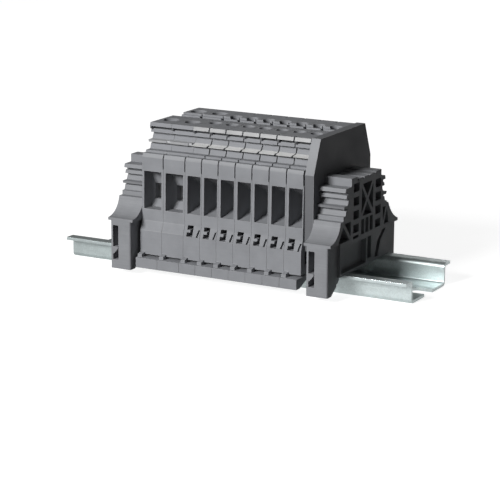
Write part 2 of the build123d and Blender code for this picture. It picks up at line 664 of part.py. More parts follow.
def shoulder_cells():
    """Triangular cells under the two shoulders, as solids to cut."""
    base = SEAT + CLAMP_LEG_TOP + CLAMP_WEB
    high = SEAT + CLAMP_SHOULDER_HEIGHT - CLAMP_WEB
    front = CLAMP_FRONT_CELL - 2 * CLAMP_WEB
    back = CLAMP_BACK_CELL + CLAMP_CELL + 2 * CLAMP_WEB
    lean = (high - base) * 0.75
    triangles = [[(front, base + CLAMP_WEB), (front, high), (front - lean, high)],
                 [(front - CLAMP_WEB, base), (front - lean - CLAMP_WEB, high - CLAMP_WEB),
                  (CLAMP_NECK_FRONT - CLAMP_WEB, base + CLAMP_WEB), (CLAMP_NECK_FRONT - CLAMP_WEB, base)],
                 [(back, base + CLAMP_WEB), (back, high), (back + lean / 2, high)],
                 [(back + CLAMP_WEB, base), (back + lean / 2 + CLAMP_WEB, high - CLAMP_WEB),
                  (back + lean, base + CLAMP_WEB), (back + lean, base)]]
    return [side_prism(points, CLAMP_PLATE, CLAMP_WIDTH) for points in triangles]


def clamp_foot():
    """Front foot of a clamp, with its latch slot, its tongue and the hook under the flange."""
    width = CLAMP_WIDTH - SIDE_GAP
    grip = -FLANGE_HALF - NECK_WIDTH
    outline = [(CLAMP_FOOT_FRONT, CLAMP_FOOT_TOP + CLAMP_WEB), (CLAMP_FOOT_FRONT, CLAMP_FOOT_BOTTOM),
               (CLAMP_FOOT_FRONT + CLAMP_FOOT_SOLE, CLAMP_FOOT_BOTTOM), (grip - HOOK_DEPTH, FLANGE_UNDER - HOOK_DEPTH),
               (CLAMP_NECK_FRONT, SEAT), (CLAMP_NECK_FRONT, CLAMP_FOOT_TOP)]
    foot = side_prism(outline, CLAMP_FOOT_INSET, width - CLAMP_FOOT_INSET)
    front = [e for e in foot.edges().filter_by(Axis.Z) if abs(e.center().Y - CLAMP_FOOT_FRONT) < CLAMP_FOOT_EDGE]
    foot = fillet(front, CLAMP_FOOT_EDGE)
    hook = [(grip - HOOK_DEPTH, FLANGE_UNDER - HOOK_DEPTH)] + hook_outline(-1)[::-1] + [(CLAMP_NECK_FRONT, SEAT)]
    foot += side_prism(hook, CLAMP_FOOT_INSET + CLAMP_PLATE, width - CLAMP_PLATE)
    x0 = LATCH_SLOT_LEFT
    x1 = x0 + LATCH_SLOT_WIDTH
    y0 = CLAMP_FOOT_FRONT
    tip = x1 - LATCH_TONGUE_GAP
    z1 = LATCH_TONGUE_TOP
    z0 = z1 - LATCH_TONGUE_DROP
    tongue = [(x0 - 1, z1), (tip, z1), (tip, z1 - LATCH_TONGUE_TIP), (x0 + LATCH_TONGUE_ROOT, z0), (x0 - 1, z0)]
    face = make_face(Polyline(*[(x, y0, z) for x, z in tongue], close=True))
    slot = block(x0, x1, y0 - 1, y0 + LATCH_SLOT_DEPTH, LATCH_SLOT_BOTTOM, LATCH_SLOT_TOP)
    foot -= slot - extrude(face, amount=LATCH_SLOT_DEPTH, dir=(0, 1, 0))
    return foot


def clamp_lower():
    """Lower body of a clamp over the rail, with a curved back edge, and its rear leg."""
    width = CLAMP_WIDTH - SIDE_GAP
    leg_top = SEAT + CLAMP_LEG_TOP
    curve_end = (CLAMP_BACK_CELL + CLAMP_CELL + 2 * CLAMP_WEB, leg_top)
    curve_start = (CLAMP_BACK_CELL, SEAT)
    bulge = (curve_start[0] + (curve_end[0] - curve_start[0]) / 3, SEAT + CLAMP_LEG_TOP * 0.6)
    lines = Polyline(*[(0, y, z) for y, z in [curve_end, (CLAMP_NECK_FRONT, leg_top), (CLAMP_NECK_FRONT, SEAT),
                                              curve_start]])
    arc = ThreePointArc((0, *curve_start), (0, *bulge), (0, *curve_end))
    body = extrude(make_face([lines, arc]), amount=width, dir=(1, 0, 0))
    hook_low = FLANGE_UNDER - HOOK_DEPTH
    leg = [(CLAMP_BACK_CELL, leg_top + CLAMP_WEB), (CLAMP_LEG_BACK, leg_top + CLAMP_WEB),
           (CLAMP_LEG_BACK, hook_low)] + hook_outline(1)[::-1] + [(CLAMP_BACK_CELL, SEAT)]
    body += side_prism(leg, 0, width - CLAMP_LEG_INSET)
    low = SEAT + CLAMP_WEB
    high = leg_top - CLAMP_WEB
    rib = CLAMP_FRONT_CELL + 2 * CLAMP_CELL + 2 * CLAMP_WEB
    body -= block(width - CLAMP_RECESS, width + 1, CLAMP_NECK_FRONT + CLAMP_WEB, rib, low, high)
    body -= block(CLAMP_PLATE, width + 1, rib + CLAMP_WEB, rib + CLAMP_WEB + CLAMP_CELL_HEIGHT, low + CLAMP_WEB, high)
    gap = [(curve_start[0] + CLAMP_WEB, low), (bulge[0] + CLAMP_WEB, bulge[1]), (curve_end[0] + CLAMP_WEB, high),
           (curve_end[0] + CLAMP_LEG_GAP, high), (bulge[0] + CLAMP_LEG_GAP, bulge[1]),
           (curve_start[0] + CLAMP_LEG_GAP, low)]
    body -= side_prism(gap, CLAMP_PLATE, width + 1)
    return body


def end_clamp():
    """One-piece end clamp, its left face at X = 0 and its ribbed side at the right."""
    clamp = clamp_body()
    for cell in clamp_cells() + shoulder_cells():
        clamp -= cell
    return clamp + clamp_lower() + clamp_foot()


def save(shape, name):
    """Write one piece to its own file."""
    export_step(shape, os.path.join("parts", name + ".step"))


def main():
    os.makedirs("parts", exist_ok=True)
    kinds = [WIDE] * WIDE_COUNT + [NARROW] * NARROW_COUNT
    row = sum(kind.pitch for kind in kinds) + COVER_WIDTH + 2 * CLAMP_WIDTH
    x = ROW_SHIFT - row / 2
    save(rail(), "rail")
    clamp = end_clamp()
    save(Pos(x, 0, 0) * clamp, "end_clamp_left")
    x += CLAMP_WIDTH
    made = {kind: (housing(kind), contact_bar(kind), sleeve(kind), screw(kind)) for kind in (WIDE, NARROW)}
    for number, kind in enumerate(kinds, start=1):
        shell, bar, cage, bolt = made[kind]
        place = Pos(x, 0, 0)
        name = f"terminal_{number}"
        save(place * shell, name + "_housing")
        save(place * bar, name + "_contact_bar")
        for side, pieces in (("front", (cage, bolt)), ("rear", (mirror(cage, Plane.XZ), mirror(bolt, Plane.XZ)))):
            save(place * pieces[0], f"{name}_{side}_sleeve")
            save(place * pieces[1], f"{name}_{side}_screw")
        x += kind.pitch
    save(Pos(x, 0, 0) * end_cover(), "end_cover")
    x += COVER_WIDTH
    save(Pos(x, 0, 0) * clamp, "end_clamp_right")


main()
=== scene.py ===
"""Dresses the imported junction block: its mouldings, rail, contacts and screws, and the stage they stand on.

Lengths are in metres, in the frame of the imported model: X along the rail, Y across it, Z up.
"""
import logging
import math
from dataclasses import dataclass, field
from enum import Enum

import bmesh
import bpy
from mathutils import Matrix, Vector


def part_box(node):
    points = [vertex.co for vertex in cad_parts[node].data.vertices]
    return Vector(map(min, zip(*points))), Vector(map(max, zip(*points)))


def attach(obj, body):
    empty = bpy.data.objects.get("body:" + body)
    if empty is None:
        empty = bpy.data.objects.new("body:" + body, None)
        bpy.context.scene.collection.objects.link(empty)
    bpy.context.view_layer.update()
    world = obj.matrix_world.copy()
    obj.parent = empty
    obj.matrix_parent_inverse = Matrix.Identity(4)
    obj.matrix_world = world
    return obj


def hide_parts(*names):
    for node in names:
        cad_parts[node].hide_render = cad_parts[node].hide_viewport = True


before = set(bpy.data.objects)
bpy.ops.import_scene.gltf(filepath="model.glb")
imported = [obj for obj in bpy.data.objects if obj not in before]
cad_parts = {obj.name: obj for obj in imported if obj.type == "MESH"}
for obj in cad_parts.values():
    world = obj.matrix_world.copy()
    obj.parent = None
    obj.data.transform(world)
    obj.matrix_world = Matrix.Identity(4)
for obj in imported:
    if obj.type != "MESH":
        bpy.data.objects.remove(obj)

log = logging.getLogger("junction_block")
Triple = tuple[float, float, float]
Span = tuple[float, float]
MM = 0.001

# Stretches of a noise pattern's values that the finishes spread over their own levels.
NOISE: Span = (0.3, 0.7)
NOISE_CORE: Span = (0.35, 0.65)
SPOT_TONE: Span = (0.35, 0.7)
SPOT_ROUGH: Span = (0.3, 0.75)

# Rounding of the mouldings, the rail and the contacts.
MERGE_DISTANCE = 1e-6
ROUND_ANGLE = 28.0
ROUND_STEPS = 2
SLIGHT_ANGLE = 1.0
FACET_ANGLE = 12.0
FACET_STRIP = 0.6 * MM
FACE_WEIGHT = 100


class Slot(Enum):
    """The record's material slots."""

    RAIL = "rail_zinc"
    CLAMP = "clamp_plastic"
    HOUSING = "housing_plastic"
    COVER = "cover_plastic"
    CONTACT = "contact_brass"
    SLEEVE = "sleeve_steel"
    SCREW = "screw_steel"


class End(Enum):
    """The two wire ends of a terminal."""

    FRONT = "front"
    REAR = "rear"


class Width(Enum):
    """The two widths of terminal."""

    WIDE = "wide"
    NARROW = "narrow"


ROW = (Width.WIDE,) * 2 + (Width.NARROW,) * 7


class Graph:
    """A shader or geometry node tree being built, with short calls for its nodes and links."""

    def __init__(self, tree: bpy.types.NodeTree) -> None:
        """Starts on a tree.

        Args:
            tree: The node tree that the calls add to.
        """
        self.tree = tree

    def add(self, kind: str, inputs: dict | None = None, **settings: object) -> bpy.types.Node:
        """Adds a node, sets its properties and sets or links its inputs.

        Args:
            kind: The node's Blender type name.
            inputs: Values or output sockets, by input name or number.
            settings: The node's own properties.

        Returns:
            The new node.
        """
        node = self.tree.nodes.new(kind)
        for key, value in settings.items():
            setattr(node, key, value)
        for key, value in (inputs or {}).items():
            if isinstance(value, bpy.types.NodeSocket):
                self.tree.links.new(value, node.inputs[key])
            else:
                node.inputs[key].default_value = value
        return node

    def feed(self, node: bpy.types.Node, inputs: dict[str, bpy.types.NodeSocket]) -> None:
        """Links output sockets to the inputs of a node that is already there.

        Args:
            node: The node that takes the links.
            inputs: Output sockets by input name.
        """
        for key, value in inputs.items():
            self.tree.links.new(value, node.inputs[key])

    def math(self, operation: str, a: object, b: object) -> bpy.types.NodeSocket:
        """Adds a Math node and returns its result.

        Args:
            operation: The Math node's operation.
            a: First value or socket.
            b: Second value or socket.

        Returns:
            The result's socket.
        """
        return self.add("ShaderNodeMath", {0: a, 1: b}, operation=operation).outputs[0]

    def ramp(self, value: bpy.types.NodeSocket, given: Span, wanted: Span) -> bpy.types.NodeSocket:
        """Spreads a span of values over another span, and holds what lies past its ends.

        Args:
            value: The value's socket.
            given: The values at the span's ends.
            wanted: The results at the span's ends.

        Returns:
            The result's socket.
        """
        ends = (value, *given, *wanted)
        return self.add("ShaderNodeMapRange", dict(enumerate(ends))).outputs[0]

    def place(self) -> bpy.types.NodeSocket:
        """Adds the object's own coordinates."""
        return self.add("ShaderNodeTexCoord").outputs["Object"]

    def stretched(self, place: bpy.types.NodeSocket, scale: Triple) -> bpy.types.NodeSocket:
        """Scales coordinates by axis, which draws a pattern out into lines."""
        return self.add("ShaderNodeMapping", {"Vector": place, "Scale": scale}).outputs[0]

    def noise(self, place: bpy.types.NodeSocket, size: float, detail: float) -> bpy.types.NodeSocket:
        """Adds a noise pattern.

        Args:
            place: The coordinates' socket.
            size: Size of the pattern's patches, in metres.
            detail: How many finer patterns it carries.

        Returns:
            The pattern's value.
        """
        node = self.add("ShaderNodeTexNoise", {"Vector": place, "Scale": 1 / size, "Detail": detail})
        return node.outputs[0]

    def tinted(self, colour: Triple, level: bpy.types.NodeSocket) -> bpy.types.NodeSocket:
        """Scales a colour by a level."""
        return self.add("ShaderNodeVectorMath", {0: colour, "Scale": level}, operation="SCALE").outputs[0]

    def bump(self, height: bpy.types.NodeSocket, show: float, depth: float,
             under: bpy.types.NodeSocket | None = None) -> bpy.types.NodeSocket:
        """Adds a bump pattern.

        Args:
            height: The pattern's value.
            show: Share of the bump that shows.
            depth: Depth of the bump, in metres.
            under: A bump that this one lies on.

        Returns:
            The bumped normal.
        """
        inputs = {"Strength": show, "Distance": depth, "Height": height}
        if under is not None:
            inputs["Normal"] = under
        return self.add("ShaderNodeBump", inputs).outputs[0]

    def seen(self) -> tuple[bpy.types.Node, bpy.types.NodeSocket]:
        """Adds the test for rays that come straight from the camera, a reflection or clear material.

        Returns:
            The Light Path node, and the test's socket: 1 for such a ray and 0 for any other.
        """
        path = self.add("ShaderNodeLightPath")
        direct = self.math("MAXIMUM", path.outputs["Is Camera Ray"], path.outputs["Is Glossy Ray"])
        return path, self.math("MAXIMUM", direct, path.outputs["Is Transmission Ray"])


def new_material(name: str) -> tuple[bpy.types.Material, Graph, bpy.types.Node]:
    """Makes an empty node material with a Principled shader.

    Args:
        name: The material's name.

    Returns:
        The material, its graph and its Principled node.
    """
    material = bpy.data.materials.new(name)
    material.use_nodes = True
    material.node_tree.nodes.clear()
    graph = Graph(material.node_tree)
    shader = graph.add("ShaderNodeBsdfPrincipled")
    graph.add("ShaderNodeOutputMaterial", {"Surface": shader.outputs[0]})
    return material, graph, shader


@dataclass(frozen=True)
class MouldedPlastic:
    """Grey glass-filled plastic straight from the mould: a fine grain, faint draw marks and cloudy colour."""

    name: str
    colour: Triple
    roughness: float = 0.5
    sheen: float = 0.1
    grain: float = 0.16 * MM
    grain_depth: float = 0.012 * MM
    grain_show: float = 0.6
    grain_rough: Span = (-0.04, 0.06)
    grain_share: float = 0.03
    cloud: float = 5.0 * MM
    cloud_share: float = 0.06
    cloud_rough: float = 0.05
    draw: float = 0.5 * MM
    draw_stretch: Triple = (0.04, 1.0, 1.0)
    draw_share: float = 0.015
    draw_depth: float = 0.02 * MM
    draw_show: float = 0.25

    def material(self) -> bpy.types.Material:
        """Builds the finish.

        Returns:
            The finish as a Blender material.
        """
        material, graph, shader = new_material(self.name)
        place = graph.place()
        grain = graph.noise(place, self.grain, detail=3.0)
        cloud = graph.noise(place, self.cloud, detail=4.0)
        draw = graph.noise(graph.stretched(place, self.draw_stretch), self.draw, detail=2.0)
        clouds = graph.ramp(cloud, NOISE, (1 - self.cloud_share, 1 + self.cloud_share))
        marks = graph.ramp(draw, NOISE, (-self.draw_share, self.draw_share))
        specks = graph.ramp(grain, NOISE_CORE, (1 - self.grain_share, 1 + self.grain_share))
        level = graph.math("MULTIPLY", graph.math("ADD", clouds, marks), specks)
        least, most = self.grain_rough
        uneven = graph.ramp(cloud, NOISE, (-self.cloud_rough, self.cloud_rough))
        rough = graph.ramp(grain, NOISE, (self.roughness + least, self.roughness + most))
        fine = graph.bump(grain, self.grain_show, self.grain_depth)
        graph.feed(shader, {"Base Color": graph.tinted(self.colour, level),
                            "Roughness": graph.math("ADD", uneven, rough),
                            "Normal": graph.bump(draw, self.draw_show, self.draw_depth, fine)})
        shader.inputs["Specular IOR Level"].default_value = self.sheen
        return material


@dataclass(frozen=True)
class GalvanisedSheet:
    """Zinc-coated rolled steel: bluish, with small spangle, dull specks and lines along the rail."""

    name: str
    colour: Triple
    roughness: float = 0.38
    spangle: float = 1.3 * MM
    spangle_tone: Span = (0.95, 1.03)
    speck: float = 0.35 * MM
    speck_tone: Span = (0.03, -0.1)
    speck_rough: float = 0.16
    speck_depth: float = 0.01 * MM
    line: float = 0.45 * MM
    line_stretch: Triple = (0.02, 1.0, 1.0)
    line_rough: Span = (-0.05, 0.07)
    line_depth: float = 0.02 * MM
    show: float = 0.35

    def material(self) -> bpy.types.Material:
        """Builds the finish.

        Returns:
            The finish as a Blender material.
        """
        material, graph, shader = new_material(self.name)
        place = graph.place()
        spangle = graph.add("ShaderNodeTexVoronoi", {"Vector": place, "Scale": 1 / self.spangle})
        cell = graph.add("ShaderNodeSeparateColor", {0: spangle.outputs["Color"]}).outputs[0]
        speck = graph.noise(place, self.speck, detail=3.0)
        line = graph.noise(graph.stretched(place, self.line_stretch), self.line, detail=3.0)
        level = graph.math("ADD", graph.ramp(cell, (0.0, 1.0), self.spangle_tone),
                           graph.ramp(speck, SPOT_TONE, self.speck_tone))
        dull = graph.ramp(speck, SPOT_ROUGH, (self.roughness, self.roughness + self.speck_rough))
        fine = graph.bump(speck, self.show, self.speck_depth)
        graph.feed(shader, {"Base Color": graph.tinted(self.colour, level),
                            "Roughness": graph.math("ADD", graph.ramp(line, NOISE, self.line_rough), dull),
                            "Normal": graph.bump(line, self.show, self.line_depth, fine)})
        shader.inputs["Metallic"].default_value = 1.0
        return material


@dataclass(frozen=True)
class TurnedMetal:
    """Plated or plain metal with fine tool lines and a few dull spots."""

    name: str
    colour: Triple
    roughness: float = 0.3
    line: float = 0.12 * MM
    line_stretch: Triple = (0.15, 0.15, 1.0)
    line_depth: float = 0.008 * MM
    line_show: float = 0.3
    spot: float = 1.1 * MM
    spot_tone: Span = (1.03, 0.86)
    spot_rough: float = 0.18

    def material(self) -> bpy.types.Material:
        """Builds the finish.

        Returns:
            The finish as a Blender material.
        """
        material, graph, shader = new_material(self.name)
        place = graph.place()
        line = graph.noise(graph.stretched(place, self.line_stretch), self.line, detail=2.0)
        spot = graph.noise(place, self.spot, detail=4.0)
        level = graph.ramp(spot, SPOT_TONE, self.spot_tone)
        rough = graph.ramp(spot, SPOT_ROUGH, (self.roughness, self.roughness + self.spot_rough))
        graph.feed(shader, {"Base Color": graph.tinted(self.colour, level), "Roughness": rough,
                            "Normal": graph.bump(line, self.line_show, self.line_depth)})
        shader.inputs["Metallic"].default_value = 1.0
        return material


@dataclass
class Finishes:
    """Every finish of the junction block, made once."""

    polished_grain: float = 0.004 * MM
    housing: bpy.types.Material = field(init=False)
    housing_edge_highlight: bpy.types.Material = field(init=False)
    lip_polish_highlight: bpy.types.Material = field(init=False)
    rib_polish_highlight: bpy.types.Material = field(init=False)
    shelf_highlight: bpy.types.Material = field(init=False)
    crest_highlight: bpy.types.Material = field(init=False)
    recess_shade: bpy.types.Material = field(init=False)
    clamp: bpy.types.Material = field(init=False)
    clamp_edge_highlight: bpy.types.Material = field(init=False)
    cover: bpy.types.Material = field(init=False)
    cover_edge_highlight: bpy.types.Material = field(init=False)
    cover_slope_highlight: bpy.types.Material = field(init=False)
    zinc: bpy.types.Material = field(init=False)
    cut_zinc: bpy.types.Material = field(init=False)
    brass: bpy.types.Material = field(init=False)
    plated: bpy.types.Material = field(init=False)
    bright: bpy.types.Material = field(init=False)

    def __post_init__(self) -> None:
        """Builds the materials."""
        self.mix_housing()
        self.mix_clamp_and_cover()
        self.zinc = GalvanisedSheet("rail_zinc_coat", (0.52, 0.58, 0.58)).material()
        self.cut_zinc = GalvanisedSheet("rail_zinc_edge", (0.62, 0.68, 0.68), roughness=0.24).material()
        self.brass = TurnedMetal("contact_bar_brass", (0.78, 0.58, 0.27), roughness=0.32).material()
        self.plated = TurnedMetal("sleeve_plated_steel", (0.72, 0.73, 0.74), roughness=0.34).material()
        self.bright = TurnedMetal("screw_plated_steel", (0.78, 0.79, 0.81), roughness=0.26).material()

    def mix_housing(self) -> None:
        """Builds the finishes of the terminal housings: the body; lighter copies on the edges, crest and
        shelf, which are painted highlights; polished lands on lips and ribs whose pale colours are painted
        highlights too; and a near-black copy for the recesses, which is painted shade.
        """
        self.housing = MouldedPlastic("housing_grey", (0.262, 0.268, 0.284)).material()
        # The edge finish is a lighter copy of the body grey: a painted highlight on the rounded edges.
        self.housing_edge_highlight = MouldedPlastic("housing_grey_edge_highlight", (0.33, 0.337, 0.35), roughness=0.46,
                                           sheen=0.2).material()
        # The lips are polished, and their colour, lighter than the body's, is a painted highlight.
        self.lip_polish_highlight = MouldedPlastic("housing_lip_polish_highlight", (0.35, 0.352, 0.356), roughness=0.3, sheen=0.25,
                                       grain_depth=self.polished_grain, cloud_share=0.1,
                                       draw_share=0.05).material()
        # The ribs are polished, and their near-white colour is a painted highlight on the rib's upward face.
        self.rib_polish_highlight = MouldedPlastic("housing_rib_polish_highlight", (0.76, 0.76, 0.75), roughness=0.3, sheen=0.8,
                                       grain_depth=self.polished_grain, cloud_share=0.08,
                                       draw_share=0.05).material()
        # A lighter copy of the body grey on the wide ribs' upward shelf: a painted highlight.
        self.shelf_highlight = MouldedPlastic("housing_shelf_highlight", (0.45, 0.455, 0.465), sheen=0.3).material()
        # A lighter copy of the body grey on the wall-top chamfer: a painted highlight.
        self.crest_highlight = MouldedPlastic("housing_crest_highlight", (0.285, 0.291, 0.305), sheen=0.25).material()
        # A near-black copy of the body grey in the grooves under lips and ribs: painted shade.
        self.recess_shade = MouldedPlastic("housing_recess_shade", (0.1, 0.102, 0.107), roughness=0.7,
                                     sheen=0.0).material()

    def mix_clamp_and_cover(self) -> None:
        """Builds the finishes of the end clamps and of the end cover: their greys, lighter copies on the
        rounded edges that are painted highlights, and a lighter copy on the cover's upward slope that is a
        painted highlight too.
        """
        self.clamp = MouldedPlastic("clamp_grey", (0.262, 0.268, 0.282), roughness=0.46,
                                    draw_share=0.04).material()
        # The clamps' edge finish is a lighter copy of their grey: a painted highlight on the rounded edges.
        self.clamp_edge_highlight = MouldedPlastic("clamp_grey_edge_highlight", (0.32, 0.327, 0.34), roughness=0.4,
                                         sheen=0.4).material()
        self.cover = MouldedPlastic("cover_grey", (0.145, 0.148, 0.157)).material()
        # A lighter copy of the cover grey on its upward slope: a painted highlight.
        self.cover_slope_highlight = MouldedPlastic("cover_grey_slope_highlight", (0.27, 0.276, 0.29), sheen=0.25).material()
        # The cover's edge finish is a much lighter copy of its grey: a painted highlight on the rounded
        # edges.
        self.cover_edge_highlight = MouldedPlastic("cover_grey_edge_highlight", (0.32, 0.327, 0.34), roughness=0.42,
                                         sheen=0.4).material()


def link_mesh(name: str, mesh: bpy.types.Mesh) -> bpy.types.Object:
    """Puts a mesh in the scene at the origin.

    Args:
        name: The object's name.
        mesh: The mesh, already in place.

    Returns:
        The new object.
    """
    obj = bpy.data.objects.new(name, mesh)
    bpy.context.scene.collection.objects.link(obj)
    return obj


def settle(obj: bpy.types.Object) -> bpy.types.Object:
    """Turns an object's modifiers into plain mesh and removes them.

    Args:
        obj: The object with its modifiers live.

    Returns:
        The same object.
    """
    graph = bpy.context.evaluated_depsgraph_get()
    graph.update()
    mesh = bpy.data.meshes.new_from_object(obj.evaluated_get(graph), preserve_all_data_layers=True,
                                           depsgraph=graph)
    old = obj.data
    obj.modifiers.clear()
    obj.data = mesh
    mesh.name = obj.name
    bpy.data.meshes.remove(old)
    return obj


def keep_within(mesh: bpy.types.Mesh, low: Vector, high: Vector) -> None:
    """Moves the points that the rounding left outside a box back onto it.

    Args:
        mesh: The mesh to trim.
        low: The box's low corner.
        high: The box's high corner.
    """
    for point in mesh.vertices:
        point.co = [min(max(value, least), most) for value, least, most in zip(point.co, low, high)]


def flat_width(start: bmesh.types.BMFace, level: float, width: dict[int, float]) -> None:
    """Finds the flat stretch that a face lies in, and notes its width for all of its faces.

    Args:
        start: A face of the stretch.
        level: Largest bend inside a stretch, in radians.
        width: Width by face index, added to here.
    """
    found, rim = [start], []
    reached = {start.index}
    for face in found:
        for side in face.edges:
            bend = side.calc_face_angle(math.pi) if len(side.link_faces) == 2 else math.pi
            if bend > level:
                rim.append(side.calc_length())
                continue
            for other in side.link_faces:
                if other.index not in reached:
                    reached.add(other.index)
                    found.append(other)
    across = sum(face.calc_area() for face in found) / max(rim)
    width.update({index: across for index in reached})


def crease(shape: bmesh.types.BMesh, low: float, high: float) -> None:
    """Marks the slight bends between flat faces as sharp, and leaves the facets of round faces smooth.

    A flat stretch narrower than FACET_STRIP counts as a facet of a round face.

    Args:
        shape: The mesh being prepared.
        low: Smallest bend marked, in radians.
        high: Bends from here up are rounded later and stay unmarked.
    """
    width: dict[int, float] = {}
    for face in shape.faces:
        if face.index not in width:
            flat_width(face, low, width)
    for edge in shape.edges:
        if len(edge.link_faces) != 2:
            continue
        bend = edge.calc_face_angle(0.0)
        narrow = min(width[face.index] for face in edge.link_faces) < FACET_STRIP
        facet = narrow and bend < math.radians(FACET_ANGLE)
        edge.smooth = not (low < bend < high and not facet)


def softened(node: str, name: str, width: float, faces: bpy.types.Material, edges: bpy.types.Material,
             angle: float = ROUND_ANGLE, held: bool = False) -> bpy.types.Object:
    """Copies a CAD node with its sharp edges rounded, and stands the copy in for the node.

    Args:
        node: The CAD node's name.
        name: The new piece's name.
        width: Width of the rounding, in metres.
        faces: Finish of the faces.
        edges: Finish of the rounded edges.
        angle: Edges sharper than this many degrees are rounded.
        held: Whether the rounding is narrowed where two roundings would meet.

    Returns:
        The new piece.
    """
    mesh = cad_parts[node].data.copy()
    mesh.materials.clear()
    shape = bmesh.new()
    shape.from_mesh(mesh)
    bmesh.ops.remove_doubles(shape, verts=shape.verts, dist=MERGE_DISTANCE)
    shape.faces.index_update()
    for face in shape.faces:
        face.smooth = True
        face.material_index = 0
    crease(shape, math.radians(SLIGHT_ANGLE), math.radians(angle))
    shape.to_mesh(mesh)
    shape.free()
    mesh.materials.append(faces)
    mesh.materials.append(edges)
    obj = link_mesh(name, mesh)
    bevel = obj.modifiers.new("edges", "BEVEL")
    bevel.width = width
    bevel.segments = ROUND_STEPS
    bevel.limit_method = "ANGLE"
    bevel.angle_limit = math.radians(angle)
    bevel.use_clamp_overlap = held
    bevel.material = 1
    bevel.miter_outer = "MITER_ARC"
    weigh = obj.modifiers.new("shading", "WEIGHTED_NORMAL")
    weigh.weight = FACE_WEIGHT
    weigh.keep_sharp = True
    settle(obj)
    keep_within(obj.data, *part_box(node))
    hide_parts(node)
    return obj


@dataclass(frozen=True)
class Land:
    """A band of a moulding's outer faces, told by its height and by how far it stands out across the rail."""

    low: float
    high: float
    out: float
    upward: float = 0.25
    outward: float = 0.5
    sideways: float = 0.3

    def holds(self, face: bpy.types.MeshPolygon) -> bool:
        """Tells whether a face belongs to the band.

        Args:
            face: A face of a finished piece.

        Returns:
            True when the face lies in the band and looks outwards or upwards.
        """
        y, z = face.center.y, face.center.z
        side = 1.0 if y > 0 else -1.0
        looks = face.normal.z > self.upward or face.normal.y * side > self.outward
        return self.low < z < self.high and abs(y) > self.out and looks and abs(face.normal.x) < self.sideways


def paint_band(obj: bpy.types.Object, land: Land, finish: bpy.types.Material) -> None:
    """Gives the faces of a band a finish of their own; here that paints highlights on lands and shade in
    recesses.

    Args:
        obj: The finished piece.
        land: The band to look for.
        finish: The finish of its faces.
    """
    obj.data.materials.append(finish)
    last = len(obj.data.materials) - 1
    for face in obj.data.polygons:
        if land.holds(face):
            face.material_index = last


class Recipe:
    """A geometry node tree with named inputs, run on a mesh and turned into plain mesh."""

    def __init__(self, name: str, inputs: dict[str, str]) -> None:
        """Starts the tree.

        Args:
            name: The tree's name.
            inputs: Socket type by input name, apart from the geometry itself.
        """
        self.tree = bpy.data.node_groups.new(name, "GeometryNodeTree")
        self.keys: dict[str, str] = {}
        face = self.tree.interface
        face.new_socket("Geometry", in_out="INPUT", socket_type="NodeSocketGeometry")
        for label, kind in inputs.items():
            self.keys[label] = face.new_socket(label, in_out="INPUT", socket_type=kind).identifier
        face.new_socket("Geometry", in_out="OUTPUT", socket_type="NodeSocketGeometry")
        self.graph = Graph(self.tree)
        self.given = self.graph.add("NodeGroupInput").outputs

    def close(self, parts: list[bpy.types.NodeSocket], smooth_below: float = 0.6) -> None:
        """Ends the tree: joins the parts, realizes instances, smooths slight bends and sets the material.

        Args:
            parts: The geometry sockets to join.
            smooth_below: Bends under this many radians are shaded smooth.
        """
        add = self.graph.add
        join = add("GeometryNodeJoinGeometry")
        for part in parts:
            self.tree.links.new(part, join.inputs[0])
        real = add("GeometryNodeRealizeInstances", {0: join.outputs[0]})
        bend = add("GeometryNodeInputMeshEdgeAngle").outputs[0]
        slight = add("FunctionNodeCompare", {0: bend, 1: smooth_below}, operation="LESS_THAN").outputs[0]
        smooth = add("GeometryNodeSetShadeSmooth", {"Geometry": real.outputs[0], "Shade Smooth": slight},
                     domain="EDGE")
        done = add("GeometryNodeSetMaterial", {"Geometry": smooth.outputs[0],
                                               "Material": self.given["Material"]})
        add("NodeGroupOutput", {0: done.outputs[0]})

    def run(self, obj: bpy.types.Object, values: dict[str, object]) -> bpy.types.Object:
        """Runs the tree on an object and leaves the result as its plain mesh.

        Args:
            obj: The object whose mesh goes in.
            values: Input values by name.

        Returns:
            The same object.
        """
        modifier = obj.modifiers.new(self.tree.name, "NODES")
        modifier.node_group = self.tree
        for label, value in values.items():
            modifier[self.keys[label]] = value
        return settle(obj)


